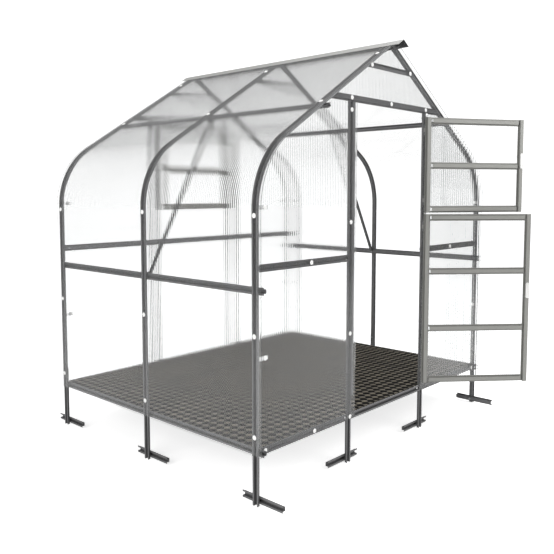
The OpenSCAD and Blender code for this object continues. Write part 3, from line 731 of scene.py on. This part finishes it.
def mesh_cell(group, source):
    """One cell: a square of plastic round an eight-sided hole, broad at its corners, where the strands
    cross, and narrow between them."""
    outline = add(
        group,
        "GeometryNodeCurvePrimitiveQuadrilateral",
        {"Width": source["Cell X"], "Height": source["Cell Y"]},
    )
    share = source["Hole Share"]
    hole_x = add(group, "ShaderNodeMath", {0: source["Cell X"], 1: share}, operation="MULTIPLY")
    hole_y = add(group, "ShaderNodeMath", {0: source["Cell Y"], 1: share}, operation="MULTIPLY")
    hole_scale = add(
        group, "ShaderNodeCombineXYZ", {"X": hole_x.outputs[0], "Y": hole_y.outputs[0], "Z": 1.0}
    )
    ring = add(group, "GeometryNodeCurveStar", {"Points": 4, "Inner Radius": 0.46, "Outer Radius": 0.5})
    hole = add(
        group, "GeometryNodeTransform", {"Geometry": ring.outputs["Curve"], "Scale": hole_scale.outputs[0]}
    )
    fine_outline = add(group, "GeometryNodeResampleCurve", {"Curve": outline.outputs[0], "Count": 8})
    fine_hole = add(group, "GeometryNodeResampleCurve", {"Curve": hole.outputs[0], "Count": 16})
    edges = joined(group, (fine_outline.outputs[0], fine_hole.outputs[0]))
    plate = add(group, "GeometryNodeFillCurve", {"Curve": edges})
    depth = add(group, "ShaderNodeCombineXYZ", {"Z": source["Strand Depth"]})
    raised = add(
        group,
        "GeometryNodeExtrudeMesh",
        {"Mesh": plate.outputs[0], "Offset": depth.outputs[0], "Offset Scale": 1.0, "Individual": False},
    )
    under = add(group, "GeometryNodeFlipFaces", {"Mesh": plate.outputs[0]})
    return joined(group, (raised.outputs["Mesh"], under.outputs[0]))


def walkway_mesh():
    """Moulded walkway mesh: cells that join into one open mesh, raised where the strands cross."""
    low, high = (Vector(corner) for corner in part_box("floor_mesh"))
    columns = round((high.x - low.x) / MESH_CELL)
    rows = round((high.y - low.y) / MESH_CELL)
    sizes = {
        "Cell X": (high.x - low.x) / columns,
        "Cell Y": (high.y - low.y) / rows,
        "Columns": columns,
        "Rows": rows,
        "Hole Share": 0.92,
        "Strand Depth": 1.6 * MM,
        "Crossing Rise": 4.4 * MM,
    }
    group, source, result = node_group("walkway_mesh", sizes)
    across = add(group, "ShaderNodeMath", {0: source["Columns"], 1: -1.0}, operation="ADD")
    along = add(group, "ShaderNodeMath", {0: source["Rows"], 1: -1.0}, operation="ADD")
    field_x = add(
        group, "ShaderNodeMath", {0: across.outputs[0], 1: source["Cell X"]}, operation="MULTIPLY"
    )
    field_y = add(
        group, "ShaderNodeMath", {0: along.outputs[0], 1: source["Cell Y"]}, operation="MULTIPLY"
    )
    field = add(
        group,
        "GeometryNodeMeshGrid",
        {
            "Size X": field_x.outputs[0],
            "Size Y": field_y.outputs[0],
            "Vertices X": source["Columns"],
            "Vertices Y": source["Rows"],
        },
    )
    cells = add(
        group,
        "GeometryNodeInstanceOnPoints",
        {"Points": field.outputs["Mesh"], "Instance": mesh_cell(group, source)},
    )
    laid = add(group, "GeometryNodeRealizeInstances", {"Geometry": cells.outputs[0]})
    merged = add(
        group, "GeometryNodeMergeByDistance", {"Geometry": laid.outputs[0], "Distance": 0.1 * MM}
    )
    position = add(group, "GeometryNodeInputPosition").outputs[0]
    spot = add(group, "ShaderNodeSeparateXYZ", {"Vector": position}).outputs
    crest_x = crest(group, spot["X"], source["Cell X"], source["Columns"])
    crest_y = crest(group, spot["Y"], source["Cell Y"], source["Rows"])
    crossing = add(group, "ShaderNodeMath", {0: crest_x, 1: crest_y}, operation="MULTIPLY")
    swell = add(
        group,
        "ShaderNodeMath",
        {0: crossing.outputs[0], 1: source["Crossing Rise"]},
        operation="MULTIPLY",
    )
    above = add(group, "FunctionNodeCompare", {0: spot["Z"], 1: 0.5 * MM}, operation="GREATER_THAN")
    offset = add(group, "ShaderNodeCombineXYZ", {"Z": swell.outputs[0]})
    shaped = add(
        group,
        "GeometryNodeSetPosition",
        {"Geometry": merged.outputs[0], "Selection": above.outputs[0], "Offset": offset.outputs[0]},
    )
    centre = (low + high) / 2
    placed = add(
        group,
        "GeometryNodeTransform",
        {"Geometry": shaped.outputs[0], "Translation": (centre.x, centre.y, low.z)},
    )
    finish_group(group, result, placed.outputs[0], strand_plastic)
    seed_mesh = bpy.data.meshes.new("walkway_seed")
    grow("walkway_mesh", group, seed_mesh, sizes, "frame", ("floor_mesh",))


capped_screws()
hexagon_nuts()
for name in SIDE_SHEETS:
    bent_sheet_webs(name, "frame")
for name in GABLE_SHEETS:
    flat_sheet_webs(name, Vector((1, 0, 0)), "vent" if name == "vent_sheet" else "frame")
for name, body in zip(LEAF_SHEETS, ("lower_door", "upper_door")):
    flat_sheet_webs(name, Vector(leaf_direction(name)), body)
walkway_mesh()


# ---------------------------------------------------------------- studio and camera

STUDIO_REACH = 60  # half the width of the studio floor, in metres


def before_first_bounce(tree):
    """1 where a ray has met nothing but clear sheets, else 0: the studio's white backing is seen
    at full strength and lights the model at a fraction of it."""
    way = add(tree, "ShaderNodeLightPath")
    depths = {0: way.outputs["Diffuse Depth"], 1: way.outputs["Glossy Depth"]}
    bounces = add(tree, "ShaderNodeMath", depths, operation="ADD")
    return add(tree, "ShaderNodeMath", {0: bounces.outputs[0], 1: 0.5}, operation="LESS_THAN").outputs[0]


def studio_floor():
    """A pale paper floor that glows up to the white of the backing between 2.5 and 8 m away."""
    corners = [(-1, -1), (1, -1), (1, 1), (-1, 1)]
    mesh = bpy.data.meshes.new("studio_floor")
    mesh.from_pydata([(x * STUDIO_REACH, y * STUDIO_REACH, 0) for x, y in corners], [], [(0, 1, 2, 3)])
    floor = bpy.data.objects.new("studio_floor", mesh)
    scene.collection.objects.link(floor)
    material, tree, output, place = new_material("pale_studio_floor")
    seen = before_first_bounce(tree)
    reach = add(tree, "ShaderNodeVectorMath", {0: place}, operation="LENGTH")
    fade = add(
        tree,
        "ShaderNodeMapRange",
        {
            "Value": reach.outputs["Value"],
            "From Min": 2.5,
            "From Max": 8.0,
            "To Min": 0.72,
            "To Max": 1.05,
        },
    )
    glow = add(tree, "ShaderNodeMath", {0: seen, 1: fade.outputs["Result"]}, operation="MULTIPLY")
    paper = add(
        tree,
        "ShaderNodeBsdfPrincipled",
        {
            "Base Color": linear("#f4f4f4"),
            "Roughness": 0.9,
            "Emission Color": (1, 1, 1, 1),
            "Emission Strength": glow.outputs[0],
        },
    )
    tree.links.new(paper.outputs[0], output.inputs["Surface"])
    mesh.materials.append(material)


def studio_backing():
    """White all round: bright where it is seen, and soft where it lights the model."""
    world = bpy.data.worlds.new("studio")
    scene.world = world
    world.use_nodes = True
    tree = world.node_tree
    tree.nodes.clear()
    strength = add(
        tree, "ShaderNodeMapRange", {"Value": before_first_bounce(tree), "To Min": 0.3, "To Max": 1.3}
    )
    sky = add(tree, "ShaderNodeBackground", {"Color": (1, 1, 1, 1), "Strength": strength.outputs[0]})
    add(tree, "ShaderNodeOutputWorld", {"Surface": sky.outputs[0]})


def soft_light(name, place, width, power):
    """A round lamp of a width in metres and a power in watts, aimed at the middle of the model. It
    lights the model, but isn't seen itself, neither directly nor through the sheets."""
    middle = (Vector(cad_box[0]) + Vector(cad_box[1])) / 2
    lamp = bpy.data.lights.new(name, "AREA")
    lamp.shape = "DISK"
    lamp.size = width
    lamp.energy = power
    holder = bpy.data.objects.new(name, lamp)
    holder.location = place
    holder.rotation_euler = (middle - Vector(place)).to_track_quat("-Z", "Y").to_euler()
    holder.visible_camera = False
    holder.visible_transmission = False
    scene.collection.objects.link(holder)


def studio_camera():
    """A camera at eye height outside the front left corner, with a slight look down."""
    look_down = 0.07856
    heading = -0.82839
    camera = bpy.data.cameras.new("camera")
    camera.sensor_width = 36
    camera.lens = 44.0
    camera.shift_y = -0.056
    camera.clip_end = 200
    viewer = bpy.data.objects.new("camera", camera)
    viewer.location = (-3.9123, -3.3118, 1.7481)
    viewer.rotation_euler = (math.pi / 2 - look_down, 0.0, heading)
    scene.collection.objects.link(viewer)
    scene.camera = viewer


studio_floor()
studio_backing()
soft_light("key", (2.2, -7.4, 5.0), 7.0, 350)
soft_light("top", (0.5, -0.5, 7.0), 6.0, 240)
soft_light("fill", (-7.6, -1.2, 3.4), 6.0, 320)
scene.view_settings.view_transform = "Standard"
studio_camera()
